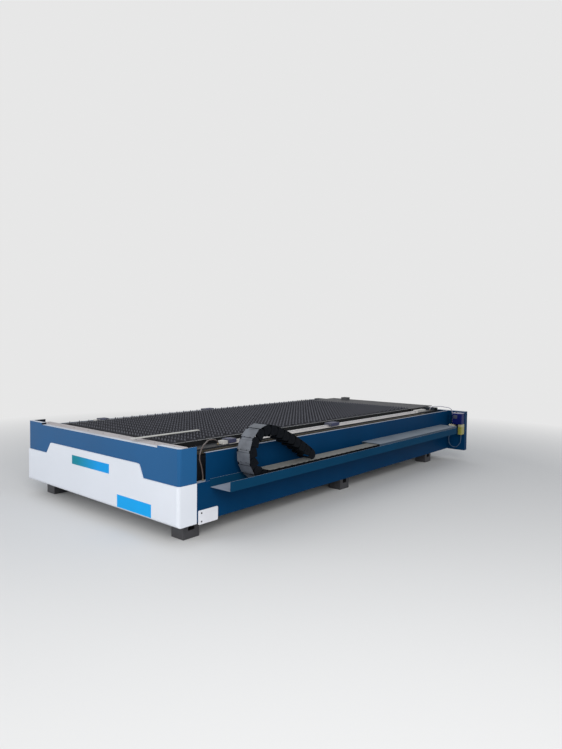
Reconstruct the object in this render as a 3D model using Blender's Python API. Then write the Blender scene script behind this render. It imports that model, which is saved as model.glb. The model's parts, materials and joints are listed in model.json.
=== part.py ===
"""Bed of a flat-bed fiber laser cutting machine: slat table, side beams with linear guides, covers and drag chain."""

import math

import bmesh
import bpy
from mathutils import Matrix, Vector

# Overall sizes, in metres. The work frame has x = 0 on the right cover side, y = 0 on the front face and z = 0 on
# the lower edge of the covers.
COVER_W = 2.200
LENGTH = 4.470
FOOT_H = 0.135
GAP = 0.0003
SHEET = 0.003
LEFT = -COVER_W
CENTRE_X = -COVER_W / 2

# Front cover
LOWER_TOP = 0.287
STEP = 0.010
RETURN_D = 0.166
CORNER_R = 0.022
FLANGE_Y = 0.053
END_TOP = 0.545
MID_TOP = 0.529
UPPER_INSET = 0.004
MID_X0 = LEFT + 0.250
MID_X1 = -0.246
TONGUE_FOOT = (LEFT + 0.348, -0.400)
TONGUE_HEAD = (LEFT + 0.415, -0.443)
TONGUE_TOP = 0.387
TONGUE_R = 0.030

# Frame
BEAM_W = 0.121
BEAM_OUT = -0.139
BEAM_IN = BEAM_OUT - BEAM_W
BEAM_TOP = 0.494
BEAM_BOTTOM = 0.020
TUBE_WALL = 0.008
END_BEAM_D = 0.100
END_BEAM_Y0 = RETURN_D - END_BEAM_D - 0.006
END_BEAM_Y1 = END_BEAM_Y0 + END_BEAM_D
REAR_BEAM_Y0 = LENGTH - 0.210
REAR_BEAM_Y1 = REAR_BEAM_Y0 + END_BEAM_D
RIM_Z = 0.530
RIM_T = 0.008
RIM_X0 = LEFT + 0.100
RIM_X1 = -0.100
CROSS_Y = (0.620, 2.030, 3.440)
CROSS_W = 0.100
CROSS_Z0 = 0.050
CROSS_Z1 = 0.170
STAY_X = (LEFT + 0.500, -0.540)
STAY_W = 0.040
STAY_H = 0.100
LOW_STAY_Z = 0.100
HIGH_STAY_Z = 0.400
RIB_Y = (0.900, 2.000, 3.100, 4.100)
RIB_T = 0.010
RIB_H = 0.100
LOW_RIB_Z = 0.110
HIGH_RIB_Z = 0.330
FOOT_W = 0.134
FOOT_L = 0.150
FOOT_OUT = -0.105
FOOT_Y = (0.132, 2.100, LENGTH - 0.510)
FOOT_WALL = 0.008
FOOT_BASE_T = 0.012
WINDOW_W = 0.060
WINDOW_Z = (0.060, 0.110)
FOOT_SCREW_R = 0.012
FOOT_SCREW_TOP = 0.098
FOOT_NUT_R = 0.022
FOOT_NUT_T = 0.018

# Slat table
TABLE_X0 = LEFT + 0.330
TABLE_X1 = -0.275
TABLE_Y0 = RETURN_D + 0.004
TABLE_L = 3.730
TABLE_Y1 = TABLE_Y0 + TABLE_L
SECTIONS = 3
SLATS = 13
TEETH = 20
SLAT_T = 0.003
TOOTH_ROOT = 0.527
TIP_Z = 0.551
COMB_T = 0.030
COMB_Z0 = 0.435
LEDGE_T = 0.020
LEDGE_REACH = 0.050
LEDGE_TAIL = 0.040
BAR_X = -0.585
BAR_W = 0.035
BAR_T = 0.006
BAR_Y0 = 0.020
BAR_L = 0.650

# Guides
RAIL_X = -0.1915
RAIL_W = 0.023
RAIL_H = 0.018
STOP_W = 0.060
STOP_FRONT = (RETURN_D + 0.404, RETURN_D + 0.454)
STOP_REAR = (3.840, 4.060)
STOP_TOP = 0.519
CARRIAGE_W = 0.080
CARRIAGE_H = 0.030
CARRIAGE_LIFT = 0.005
CARRIAGE_Y = (STOP_FRONT[1] + GAP, 1.995)
CARRIAGE_L = (0.084, 0.140)
RACK_Y = (0.250, 3.950)
RACK_T = 0.020
RACK_H = 0.022
RACK_TOP = 0.481

# Rear
REAR_COVER_D = 0.070
REAR_Y0 = LENGTH - REAR_COVER_D
REAR_TOP = 0.490
REAR_WALL_W = 0.010
REAR_RIM_X0 = LEFT + 0.350
REAR_RIM_X1 = -0.270
REAR_RIM_Y0 = TABLE_Y1 + 0.0004
BLOCK_X = LEFT + 0.630
BLOCK_Y = LENGTH - 0.220
BLOCK_W = 0.090
BLOCK_H = 0.040

# Side panels
UPPER_Y0 = RETURN_D + 0.082
PANEL_TOP = 0.492
PANEL_FLANGE = 0.025
PANEL_Y1 = REAR_Y0 - 0.0005
SIDE_Z0 = 0.008
LEDGE_X = 0.050
PLATE_Y = (0.177, 0.363)
PLATE_Z = (-0.010, 0.090)
PLATE_THICK = 0.006
PLATE_R = 0.008

# Drag chain
PITCH = 0.078
CHAIN_W = 0.130
CHAIN_H = 0.080
LOOP_Y = 0.730
DECK_Y0 = 2.310
RUN_UNDER_DECK = 0.190
RUN_END_Y = DECK_Y0 + RUN_UNDER_DECK
PLATE_T = 0.007
COVER_T = 0.0025
EAR_R = CHAIN_H / 2 - COVER_T - 0.0005
HUB_R = 0.022
TONGUE_ARC_R = EAR_R - 0.0015
BENDS = (8.0, 27.0, 23.0, 28.0, 23.0, 28.0, 26.0, 28.0, 10.0, 2.1, 2.1, 2.1, 2.1, 2.1, 2.1)

# Chain tray
CHAIN_ROOM_IN = 0.0517
CHAIN_ROOM_OUT = 0.022
CHAIN_X = GAP + SHEET + CHAIN_ROOM_IN + CHAIN_W / 2
TRAY_W = CHAIN_X + CHAIN_W / 2 + CHAIN_ROOM_OUT + SHEET
TRAY_Y0 = RETURN_D + 0.122
TRAY_Y1 = LENGTH - 0.320
TRAY_Z0 = 0.238
LIP_TOP = 0.310
TRAY_INNER = 0.300
DECK_Z = TRAY_Z0 + SHEET + CHAIN_H + 0.010

# Scrap trays
SCRAP_SIDE_ROOM = 0.060
SCRAP_H = 0.120
SCRAP_Y0 = TABLE_Y0 + 0.130
SCRAP_Y1 = TABLE_Y1 - 0.120
SCRAP_ROOM = 0.008

# Lubricator, on the right end of the rear cover's front wall
PUMP_X = (0.084, 0.205)
PUMP_Z = (0.335, 0.470)
PUMP_D = 0.100
TANK_X = (0.156, 0.208)
TANK_Z0 = 0.208
TANK_D = 0.095
MANIFOLD_X = (0.030, 0.100)
MANIFOLD_Z = (0.255, 0.325)
MANIFOLD_D = 0.065

SHIFT = Vector(((COVER_W - TRAY_W) / 2, -LENGTH / 2, FOOT_H))


def clear_scene():
    for obj in list(bpy.data.objects):
        bpy.data.objects.remove(obj, do_unlink=True)


def paint(obj, colour, metallic, roughness):
    material = bpy.data.materials.new(obj.name + "_mat")
    material.use_nodes = True
    shader = material.node_tree.nodes["Principled BSDF"]
    shader.inputs["Base Color"].default_value = (*colour, 1.0)
    shader.inputs["Metallic"].default_value = metallic
    shader.inputs["Roughness"].default_value = roughness
    obj.data.materials.clear()
    obj.data.materials.append(material)


BLUE = ((0.045, 0.135, 0.262), 0.0, 0.42)
WHITE = ((0.78, 0.80, 0.86), 0.0, 0.40)
NAVY = ((0.012, 0.045, 0.120), 0.0, 0.45)
DARK = ((0.050, 0.052, 0.062), 0.6, 0.55)
FRAME = ((0.040, 0.060, 0.085), 0.0, 0.55)
STEEL = ((0.42, 0.41, 0.42), 0.9, 0.35)
PLASTIC = ((0.16, 0.17, 0.19), 0.0, 0.55)
DECK = ((0.17, 0.19, 0.21), 0.4, 0.50)
OIL = ((0.45, 0.42, 0.07), 0.0, 0.30)
CREAM = ((0.55, 0.52, 0.42), 0.0, 0.45)
RUBBER = ((0.020, 0.022, 0.026), 0.0, 0.60)


def box(x0, x1, y0, y1, z0, z1):
    points = [(x, y, z) for z in (z0, z1) for y in (y0, y1) for x in (x0, x1)]
    faces = [(0, 2, 3, 1), (4, 5, 7, 6), (0, 1, 5, 4), (2, 6, 7, 3), (0, 4, 6, 2), (1, 3, 7, 5)]
    return points, faces


def prism(outline, axis, a0, a1):
    """An outline of (u, v) pairs pushed along an axis: x takes (y, z), y takes (x, z) and z takes (x, y)."""
    place = {
        "x": lambda u, v, a: (a, u, v),
        "y": lambda u, v, a: (u, a, v),
        "z": lambda u, v, a: (u, v, a),
    }[axis]
    count = len(outline)
    points = [place(u, v, a) for a in (a0, a1) for u, v in outline]
    faces = [tuple(range(count)), tuple(range(2 * count - 1, count - 1, -1))]
    for i in range(count):
        j = (i + 1) % count
        faces.append((i, i + count, j + count, j))
    return points, faces


def joined(*shapes):
    points = []
    faces = []
    for shape_points, shape_faces in shapes:
        start = len(points)
        points += shape_points
        faces += [tuple(start + i for i in face) for face in shape_faces]
    return points, faces


def mesh_of(shape, name="piece"):
    mesh = bpy.data.meshes.new(name)
    mesh.from_pydata(shape[0], [], shape[1])
    body = bmesh.new()
    body.from_mesh(mesh)
    bmesh.ops.recalc_face_normals(body, faces=body.faces)
    body.to_mesh(mesh)
    body.free()
    return mesh


def rounded(shape, radius, segments, wanted):
    """The shape with the edges rounded whose two ends, as vectors, pass the test."""
    mesh = mesh_of(shape)
    body = bmesh.new()
    body.from_mesh(mesh)
    edges = [edge for edge in body.edges if wanted(edge.verts[0].co, edge.verts[1].co)]
    bmesh.ops.bevel(body, geom=edges, offset=radius, segments=segments, affect="EDGES", profile=0.5)
    body.to_mesh(mesh)
    body.free()
    points = [tuple(vertex.co) for vertex in mesh.vertices]
    faces = [tuple(face.vertices) for face in mesh.polygons]
    bpy.data.meshes.remove(mesh)
    return points, faces


def carved(base, *steps):
    """The base with each (operation, shape) applied in order by an exact Boolean."""
    target = bpy.data.objects.new("target", mesh_of(base))
    bpy.context.scene.collection.objects.link(target)
    helpers = []
    for operation, shape in steps:
        helper = bpy.data.objects.new("helper", mesh_of(shape))
        bpy.context.scene.collection.objects.link(helper)
        helpers.append(helper)
        modifier = target.modifiers.new("cut", "BOOLEAN")
        modifier.operation = operation
        modifier.solver = "EXACT"
        modifier.object = helper
    graph = bpy.context.evaluated_depsgraph_get()
    mesh = bpy.data.meshes.new_from_object(target.evaluated_get(graph))
    points = [tuple(vertex.co) for vertex in mesh.vertices]
    faces = [tuple(face.vertices) for face in mesh.polygons]
    bpy.data.meshes.remove(mesh)
    for obj in (target, *helpers):
        bpy.data.objects.remove(obj, do_unlink=True)
    return points, faces


def add(name, shape, look, origin=(0, 0, 0), turn=0.0):
    """One named piece. Its shape is given from its origin, which lies in the work frame."""
    obj = bpy.data.objects.new(name, mesh_of(shape, name))
    bpy.context.scene.collection.objects.link(obj)
    obj.location = SHIFT + Vector(origin)
    obj.rotation_euler = (turn, 0.0, 0.0)
    paint(obj, *look)
    return obj


def mirror_x(x0, x1):
    """The same span of x on the left side of the machine."""
    return 2 * CENTRE_X - x1, 2 * CENTRE_X - x0


def tube(axis, box_size, wall):
    """A rectangular tube, open at both ends."""
    x0, x1, y0, y1, z0, z1 = box_size
    if axis == "y":
        inner = box(x0 + wall, x1 - wall, y0 - wall, y1 + wall, z0 + wall, z1 - wall)
    else:
        inner = box(x0 - wall, x1 + wall, y0 + wall, y1 - wall, z0 + wall, z1 - wall)
    return carved(box(*box_size), ("DIFFERENCE", inner))


def corner_arc(centre, radius, start, end, steps):
    """Points on an arc, in degrees."""
    points = []
    for i in range(steps + 1):
        angle = math.radians(start + (end - start) * i / steps)
        points.append((centre[0] + radius * math.cos(angle), centre[1] + radius * math.sin(angle)))
    return points


def tongue_outline(inset, foot_z):
    """The raised middle of the lower cover, seen from the front."""
    left = TONGUE_HEAD[0] + inset
    right = TONGUE_HEAD[1] - inset
    top = TONGUE_TOP - inset
    radius = TONGUE_R - inset / 2
    outline = [(TONGUE_FOOT[0] + inset, foot_z)]
    outline += corner_arc((left + radius, top - radius), radius, 160, 90, 3)
    outline += corner_arc((right - radius, top - radius), radius, 90, 20, 3)
    outline.append((TONGUE_FOOT[1] - inset, foot_z))
    return outline


def front_cover_lower():
    def upright(a, b):
        return abs(a.z - b.z) > 0.01 and a.y < 0.01 and b.y < 0.01

    def front_edge(a, b):
        low = max(a.z, b.z) < 0.001 and a.y < 0.01 and b.y < 0.01
        return upright(a, b) or low

    outer = rounded(box(LEFT, 0, 0, RETURN_D, 0, LOWER_TOP), CORNER_R, 3, front_edge)
    tongue = prism(tongue_outline(0, LOWER_TOP - 0.01), "y", 0, STEP - GAP)
    back = RETURN_D + 0.05
    inner = box(LEFT + SHEET, -SHEET, SHEET, back, CORNER_R, LOWER_TOP - SHEET)
    inner = rounded(inner, CORNER_R - SHEET, 3, upright)
    below = box(LEFT + CORNER_R, -CORNER_R, CORNER_R, back, -0.05, CORNER_R + 0.01)
    behind = box(LEFT + SHEET, -SHEET, CORNER_R + 0.001, back, LOWER_TOP - 0.08, LOWER_TOP + 0.05)
    pocket = prism(tongue_outline(SHEET, LOWER_TOP - 0.03), "y", SHEET, back)
    shape = carved(
        outer,
        ("UNION", tongue),
        ("DIFFERENCE", inner),
        ("DIFFERENCE", below),
        ("DIFFERENCE", behind),
        ("DIFFERENCE", pocket),
    )
    add("front_cover_lower", shape, WHITE)


def stepped_outline(inset, low):
    x0 = LEFT + UPPER_INSET + inset
    x1 = -UPPER_INSET - inset
    return [
        (x0, low),
        (x0, END_TOP - inset),
        (MID_X0 - inset, END_TOP - inset),
        (MID_X0 - inset, MID_TOP - inset),
        (MID_X1 + inset, MID_TOP - inset),
        (MID_X1 + inset, END_TOP - inset),
        (x1, END_TOP - inset),
        (x1, low),
    ]


def front_cover_upper():
    def corner(a, b):
        return abs(a.z - b.z) > 0.1 and a.y < STEP + 0.001 and b.y < STEP + 0.001 and abs(a.x - b.x) < 0.001

    low = LOWER_TOP + GAP
    outer = rounded(prism(stepped_outline(0, low), "y", STEP, RETURN_D), CORNER_R, 3, corner)
    inner = prism(stepped_outline(SHEET, low - 0.05), "y", STEP + SHEET, RETURN_D + 0.05)
    back = Vector((0, SHEET, 0))
    inner = rounded(inner, CORNER_R - SHEET, 3, lambda a, b: corner(a - back, b - back))
    x0 = LEFT + UPPER_INSET + SHEET
    x1 = -UPPER_INSET - SHEET
    behind = box(x0, x1, FLANGE_Y, RETURN_D + 0.05, MID_TOP - 2 * SHEET, END_TOP + 0.05)
    shape = carved(outer, ("DIFFERENCE", inner), ("DIFFERENCE", behind))
    add("front_cover_upper", shape, BLUE)


def side_beam(name, left):
    def span(x0, x1):
        return mirror_x(x0, x1) if left else (x0, x1)

    y0 = END_BEAM_Y1 + GAP
    y1 = REAR_BEAM_Y0 - GAP
    base = tube("y", (*span(BEAM_IN, BEAM_OUT), y0, y1, BEAM_BOTTOM, BEAM_TOP), TUBE_WALL)
    steps = []
    for a, b in (STOP_FRONT, STOP_REAR):
        stop_x = span(RAIL_X - STOP_W / 2, RAIL_X + STOP_W / 2)
        steps.append(("UNION", box(*stop_x, a, b, BEAM_TOP - TUBE_WALL / 2, STOP_TOP)))
    table_edge = TABLE_X1 if not left else 2 * CENTRE_X - TABLE_X0
    reach = box(
        *span(table_edge - LEDGE_REACH, BEAM_IN + TUBE_WALL / 2),
        TABLE_Y0,
        TABLE_Y1 + LEDGE_TAIL,
        COMB_Z0 - LEDGE_T,
        COMB_Z0 - GAP,
    )
    steps.append(("UNION", reach))
    for y in RIB_Y:
        for z0 in (LOW_RIB_Z, HIGH_RIB_Z):
            rib = box(*span(BEAM_OUT - TUBE_WALL / 2, -SHEET - GAP), y, y + RIB_T, z0, z0 + RIB_H)
            steps.append(("UNION", rib))
    add(name, carved(base, *steps), FRAME)


def end_beams():
    ends = (mirror_x(BEAM_IN, BEAM_OUT)[0], BEAM_OUT)
    top = RIM_Z - RIM_T - GAP
    front = tube("x", (*ends, END_BEAM_Y0, END_BEAM_Y1, BEAM_BOTTOM, top), TUBE_WALL)
    rear = tube("x", (*ends, REAR_BEAM_Y0, REAR_BEAM_Y1, BEAM_BOTTOM, top), TUBE_WALL)
    front_stays = []
    rear_stays = []
    for x in STAY_X:
        a = x
        b = x + STAY_W
        low = (LOW_STAY_Z, LOW_STAY_Z + STAY_H)
        high = (HIGH_STAY_Z, HIGH_STAY_Z + STAY_H)
        sunk = TUBE_WALL / 2
        front_stays.append(box(a, b, SHEET + GAP, END_BEAM_Y0 + sunk, *low))
        front_stays.append(box(a, b, STEP + SHEET + GAP, END_BEAM_Y0 + sunk, *high))
        rear_stays.append(box(a, b, REAR_BEAM_Y1 - sunk, LENGTH - SHEET - 2 * GAP, *low))
    add("front_end_beam", carved(front, ("UNION", joined(*front_stays))), FRAME)
    add("rear_end_beam", carved(rear, ("UNION", joined(*rear_stays))), FRAME)


def cross_members():
    x0 = 2 * CENTRE_X - BEAM_IN + GAP
    x1 = BEAM_IN - GAP
    for i, y in enumerate(CROSS_Y):
        shape = tube("x", (x0, x1, y - CROSS_W / 2, y + CROSS_W / 2, CROSS_Z0, CROSS_Z1), TUBE_WALL)
        add(f"cross_member_{i + 1}", shape, FRAME)


def rim_plates():
    shape = box(RIM_X0, RIM_X1, FLANGE_Y + GAP, RETURN_D, RIM_Z - RIM_T, RIM_Z)
    add("front_rim_plate", shape, STEEL)
    shape = box(REAR_RIM_X0, REAR_RIM_X1, REAR_RIM_Y0, LENGTH, RIM_Z - RIM_T, RIM_Z)
    sunk = RIM_T / 4
    block = box(BLOCK_X, BLOCK_X + BLOCK_W, BLOCK_Y, BLOCK_Y + BLOCK_W, RIM_Z - sunk, RIM_Z + BLOCK_H)
    apron = box(REAR_RIM_X0, REAR_RIM_X1, REAR_RIM_Y0, REAR_RIM_Y0 + RIM_T, COMB_Z0, RIM_Z - sunk)
    add("rear_rim_plate", carved(shape, ("UNION", block), ("UNION", apron)), STEEL)


def slat_outline():
    """One slat from the front: a flat foot and a saw edge, with its ends inside the comb bars."""
    x0 = TABLE_X0 + COMB_T / 2
    x1 = TABLE_X1 - COMB_T / 2
    pitch = (x1 - x0) / TEETH
    outline = [(x0, COMB_Z0), (x0, TOOTH_ROOT)]
    for i in range(TEETH):
        left = x0 + i * pitch
        outline.append((left + pitch / 2, TIP_Z))
        outline.append((left + pitch, TOOTH_ROOT))
    outline.append((x1, COMB_Z0))
    return outline


def slat_sections():
    length = (TABLE_Y1 - TABLE_Y0) / SECTIONS
    outline = slat_outline()
    for n in range(SECTIONS):
        y0 = TABLE_Y0 + n * length
        y1 = y0 + length - GAP
        pitch = (y1 - y0) / SLATS
        slats = []
        for i in range(SLATS):
            y = y0 + (i + 0.5) * pitch - SLAT_T / 2
            slats.append(prism(outline, "y", y, y + SLAT_T))
        left = box(TABLE_X0, TABLE_X0 + COMB_T, y0, y1, COMB_Z0, RIM_Z)
        right = box(TABLE_X1 - COMB_T, TABLE_X1, y0, y1, COMB_Z0, RIM_Z)
        shape = carved(joined(left, right), ("UNION", joined(*slats)))
        add(f"slat_section_{n + 1}", shape, DARK)


def loose_strip():
    low = TIP_Z + GAP
    shape = box(BAR_X, BAR_X + BAR_W, BAR_Y0, BAR_Y0 + BAR_L, low, low + BAR_T)
    add("straight_edge_bar", shape, STEEL)


def guides(side, left):
    def span(x0, x1):
        return mirror_x(x0, x1) if left else (x0, x1)

    y0 = STOP_FRONT[1] + GAP
    y1 = STOP_REAR[0] - GAP
    rail_top = BEAM_TOP + RAIL_H
    rail = box(*span(RAIL_X - RAIL_W / 2, RAIL_X + RAIL_W / 2), y0, y1, BEAM_TOP + GAP, rail_top)
    add(f"rail_{side}", rail, STEEL)
    rack = box(*span(BEAM_OUT + GAP, BEAM_OUT + RACK_T), *RACK_Y, RACK_TOP - RACK_H, RACK_TOP)
    add(f"rack_{side}", rack, DARK)
    centre = RAIL_X if not left else 2 * CENTRE_X - RAIL_X
    low = BEAM_TOP + CARRIAGE_LIFT
    for i, (y, length) in enumerate(zip(CARRIAGE_Y, CARRIAGE_L)):
        block = box(-CARRIAGE_W / 2, CARRIAGE_W / 2, 0, length, 0, CARRIAGE_H)
        half = RAIL_W / 2 + GAP
        groove = box(-half, half, -0.01, length + 0.01, -0.01, rail_top + GAP - low)
        shape = carved(block, ("DIFFERENCE", groove))
        add(f"carriage_{side}_{i + 1}", shape, STEEL, origin=(centre, y, low))


def side_panels():
    z1 = LOWER_TOP
    lower = [(-SHEET, SIDE_Z0), (0, SIDE_Z0), (0, z1), (-LEDGE_X, z1), (-LEDGE_X, z1 - SHEET), (-SHEET, z1 - SHEET)]
    add("right_lower_panel", prism(lower, "y", RETURN_D + GAP, PANEL_Y1), NAVY)
    z0 = LOWER_TOP + GAP
    top = PANEL_TOP
    fold = PANEL_FLANGE
    upper = [(-SHEET, z0), (0, z0), (0, top), (-fold, top), (-fold, top - SHEET), (-SHEET, top - SHEET)]
    add("right_upper_panel", prism(upper, "y", UPPER_Y0, PANEL_Y1), NAVY)
    x = LEFT
    left = [
        (x, SIDE_Z0),
        (x + SHEET, SIDE_Z0),
        (x + SHEET, top - SHEET),
        (x + fold, top - SHEET),
        (x + fold, top),
        (x, top),
    ]
    add("left_side_panel", prism(left, "y", RETURN_D + GAP, PANEL_Y1), NAVY)


def rear_cover():
    back = LENGTH - GAP
    edge = REAR_WALL_W
    outer = box(LEFT, TRAY_W, REAR_Y0, back, 0, REAR_TOP)
    hollow = box(LEFT + SHEET, TRAY_W - SHEET, REAR_Y0 + SHEET, back - SHEET, -0.05, REAR_TOP - SHEET)
    window = box(LEFT + edge, -edge, REAR_Y0 - 0.01, REAR_Y0 + 2 * SHEET, -0.05, REAR_TOP - edge)
    add("rear_cover", carved(outer, ("DIFFERENCE", hollow), ("DIFFERENCE", window)), NAVY)


def chain_tray():
    x0 = GAP
    x1 = TRAY_W
    z0 = TRAY_Z0
    profile = [
        (x0, z0),
        (x1, z0),
        (x1, LIP_TOP),
        (x1 - SHEET, LIP_TOP),
        (x1 - SHEET, z0 + SHEET),
        (x0 + SHEET, z0 + SHEET),
        (x0 + SHEET, TRAY_INNER),
        (x0, TRAY_INNER),
    ]
    add("chain_tray", prism(profile, "y", TRAY_Y0, TRAY_Y1), BLUE)
    foot = TRAY_Z0 + SHEET + GAP
    under = DECK_Z - SHEET
    inner_leg = x0 + SHEET + GAP
    outer_leg = x1 - SHEET - GAP
    deck = [
        (x0, under),
        (x0, DECK_Z),
        (x1, DECK_Z),
        (x1, under),
        (outer_leg, under),
        (outer_leg, foot),
        (outer_leg - SHEET, foot),
        (outer_leg - SHEET, under),
        (inner_leg + SHEET, under),
        (inner_leg + SHEET, foot),
        (inner_leg, foot),
        (inner_leg, under),
    ]
    add("chain_tray_deck", prism(deck, "y", DECK_Y0, TRAY_Y1), DECK)


def link_shape():
    """One link from its front pivot: y runs to the next pivot and z to the outside of the bend."""
    half = CHAIN_W / 2
    side = CHAIN_H / 2
    low = -side + COVER_T
    high = side - COVER_T
    near = EAR_R + 0.0015
    far = PITCH - HUB_R - 0.001
    outer_plate = [(near, -EAR_R)] + corner_arc((PITCH, 0), EAR_R, -90, 90, 6)
    outer_plate += [(PITCH - 0.0006, high + 0.001), (near, high + 0.001)]
    inner_plate = corner_arc((0, 0), HUB_R, 90, 270, 6) + [(far, -HUB_R), (far, HUB_R)]
    tongue = corner_arc((0, 0), TONGUE_ARC_R, 86, 130, 3) + corner_arc((0, 0), TONGUE_ARC_R - 0.003, 130, 86, 3)
    inner_x = half - PLATE_T - GAP
    solids = []
    for sign in (-1, 1):
        a, b = sorted((sign * half, sign * (half - PLATE_T)))
        solids.append(prism(outer_plate, "x", a, b))
        a, b = sorted((sign * inner_x, sign * (inner_x - PLATE_T + 0.001)))
        solids.append(prism(inner_plate, "x", a, b))
        a, b = sorted((sign * (half - 0.002), sign * (inner_x - 0.002)))
        solids.append(box(a, b, near + 0.002, far - 0.002, -HUB_R + 0.004, HUB_R - 0.004))
    roof = box(-half, half, 0.0006, PITCH - 0.0006, high, side)
    floor = box(-half, half, near, PITCH - 0.011, -side, low + 0.002)
    web = box(-inner_x + 0.003, inner_x - 0.003, 0.001, near + 0.010, high - 0.004, high + 0.001)
    joist_ends = ((inner_x - PLATE_T + 0.001, inner_x), (-inner_x, PLATE_T - 0.001 - inner_x))
    joists = [box(*ends, near, far - 0.001, HUB_R - 0.002, high + 0.001) for ends in joist_ends]
    arc = prism(tongue, "x", -inner_x + 0.003, inner_x - 0.003)
    return carved(
        roof,
        ("UNION", joined(solids[0], solids[3])),
        ("UNION", joined(solids[2], solids[5])),
        ("UNION", joined(solids[1], solids[4])),
        ("UNION", floor),
        ("UNION", web),
        ("UNION", arc),
        ("UNION", joined(*joists)),
    )


def chain_pivots():
    """Where each link's front pivot lies and how far the link is turned."""
    y = LOOP_Y
    z = TRAY_Z0 + SHEET + GAP + CHAIN_H / 2
    angle = 180.0
    placed = []
    for bend in BENDS:
        angle -= bend
        placed.append((y, z, math.radians(angle)))
        y += PITCH * math.cos(math.radians(angle))
        z += PITCH * math.sin(math.radians(angle))
    return placed


def drag_chain():
    shape = link_shape()
    for i, (y, z, turn) in enumerate(chain_pivots()):
        add(f"drag_chain_link_{i + 1:02d}", shape, PLASTIC, origin=(CHAIN_X, y, z), turn=turn)


def lower_run():
    """The links that lie in the tray, as one piece with grooves where they meet."""
    half = CHAIN_W / 2
    x0 = CHAIN_X - half
    x1 = CHAIN_X + half
    z0 = TRAY_Z0 + SHEET + GAP
    z1 = z0 + CHAIN_H
    mid = (z0 + z1) / 2
    first = LOOP_Y + EAR_R + 0.0015
    wall = 2 * PLATE_T
    lid_t = 0.0015 + COVER_T
    body = box(x0, x1, first, RUN_END_Y, z0, z1)
    hollow = box(x0 + wall, x1 - wall, first - 0.01, RUN_END_Y + 0.01, z0 + lid_t, z1 - lid_t)
    grooves = []
    y = LOOP_Y + PITCH
    while y < RUN_END_Y - PITCH / 2:
        grooves.append(box(x0 - 0.01, x1 + 0.01, y - 0.011, y + 0.011, z1 - COVER_T, z1 + 0.01))
        y += PITCH
    ear = corner_arc((LOOP_Y, mid), EAR_R, 90, 270, 6) + [(first + 0.02, mid - EAR_R), (first + 0.02, mid + EAR_R)]
    steps = [("DIFFERENCE", hollow), ("DIFFERENCE", joined(*grooves))]
    lid = box(CHAIN_X - half, CHAIN_X + half, LOOP_Y + 0.0006, first + 0.01, z0, z0 + COVER_T)
    steps.append(("UNION", lid))
    for sign in (-1, 1):
        a, b = sorted((CHAIN_X + sign * half, CHAIN_X + sign * (half - PLATE_T)))
        steps.append(("UNION", prism(ear, "x", a, b)))
    add("drag_chain_lower_run", carved(body, *steps), PLASTIC)


def levelling_feet():
    """Welded box feet under the side beams, each with its levelling screw behind a window on both sides."""
    top = FOOT_H + BEAM_BOTTOM - GAP
    wall = FOOT_WALL
    shell = box(0, FOOT_W, 0, FOOT_L, 0, top)
    room = box(wall, FOOT_W - wall, wall, FOOT_L - wall, FOOT_BASE_T, top + 0.01)
    middle = (FOOT_W / 2, FOOT_L / 2)
    window = box(-0.01, FOOT_W + 0.01, middle[1] - WINDOW_W / 2, middle[1] + WINDOW_W / 2, *WINDOW_Z)
    sunk = FOOT_BASE_T / 2
    screw = prism(corner_arc(middle, FOOT_SCREW_R, 0, 315, 7), "z", sunk, FOOT_SCREW_TOP)
    nut = prism(corner_arc(middle, FOOT_NUT_R, 0, 300, 5), "z", sunk, FOOT_BASE_T + FOOT_NUT_T)
    shape = carved(shell, ("DIFFERENCE", room), ("DIFFERENCE", window), ("UNION", screw), ("UNION", nut))
    right = FOOT_OUT - FOOT_W
    for side, x in (("right", right), ("left", mirror_x(right, FOOT_OUT)[0])):
        for i, y in enumerate(FOOT_Y):
            add(f"levelling_foot_{side}_{i + 1}", shape, DARK, origin=(x, y, -FOOT_H))


def scrap_trays():
    x0 = TABLE_X0 + SCRAP_SIDE_ROOM
    x1 = TABLE_X1 - SCRAP_SIDE_ROOM
    z0 = CROSS_Z1 + GAP
    half = SCRAP_ROOM / 2
    middle = CROSS_Y[1]
    for i, (y0, y1) in enumerate(((SCRAP_Y0, middle - half), (middle + half, SCRAP_Y1))):
        outer = box(x0, x1, y0, y1, z0, z0 + SCRAP_H)
        inner = box(x0 + SHEET, x1 - SHEET, y0 + SHEET, y1 - SHEET, z0 + SHEET, z0 + 2 * SCRAP_H)
        add(f"scrap_tray_{i + 1}", carved(outer, ("DIFFERENCE", inner)), DARK)


def side_bracket():
    shape = rounded(
        box(GAP, PLATE_THICK, *PLATE_Y, *PLATE_Z),
        PLATE_R,
        2,
        lambda a, b: abs(a.x - b.x) > 0.001,
    )
    add("side_bracket_plate", shape, WHITE)


def lubricator():
    def upright(a, b):
        return abs(a.z - b.z) > 0.01

    wall = REAR_Y0 - GAP
    pump = rounded(box(*PUMP_X, wall - PUMP_D, wall, *PUMP_Z), 0.008, 2, upright)
    add("lubricator_pump", pump, NAVY)
    tank = rounded(box(*TANK_X, wall - TANK_D, wall, TANK_Z0, PUMP_Z[0] - GAP), 0.012, 2, upright)
    add("oil_reservoir", tank, OIL)
    add("oil_manifold", box(*MANIFOLD_X, wall - MANIFOLD_D, wall, *MANIFOLD_Z), CREAM)


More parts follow.
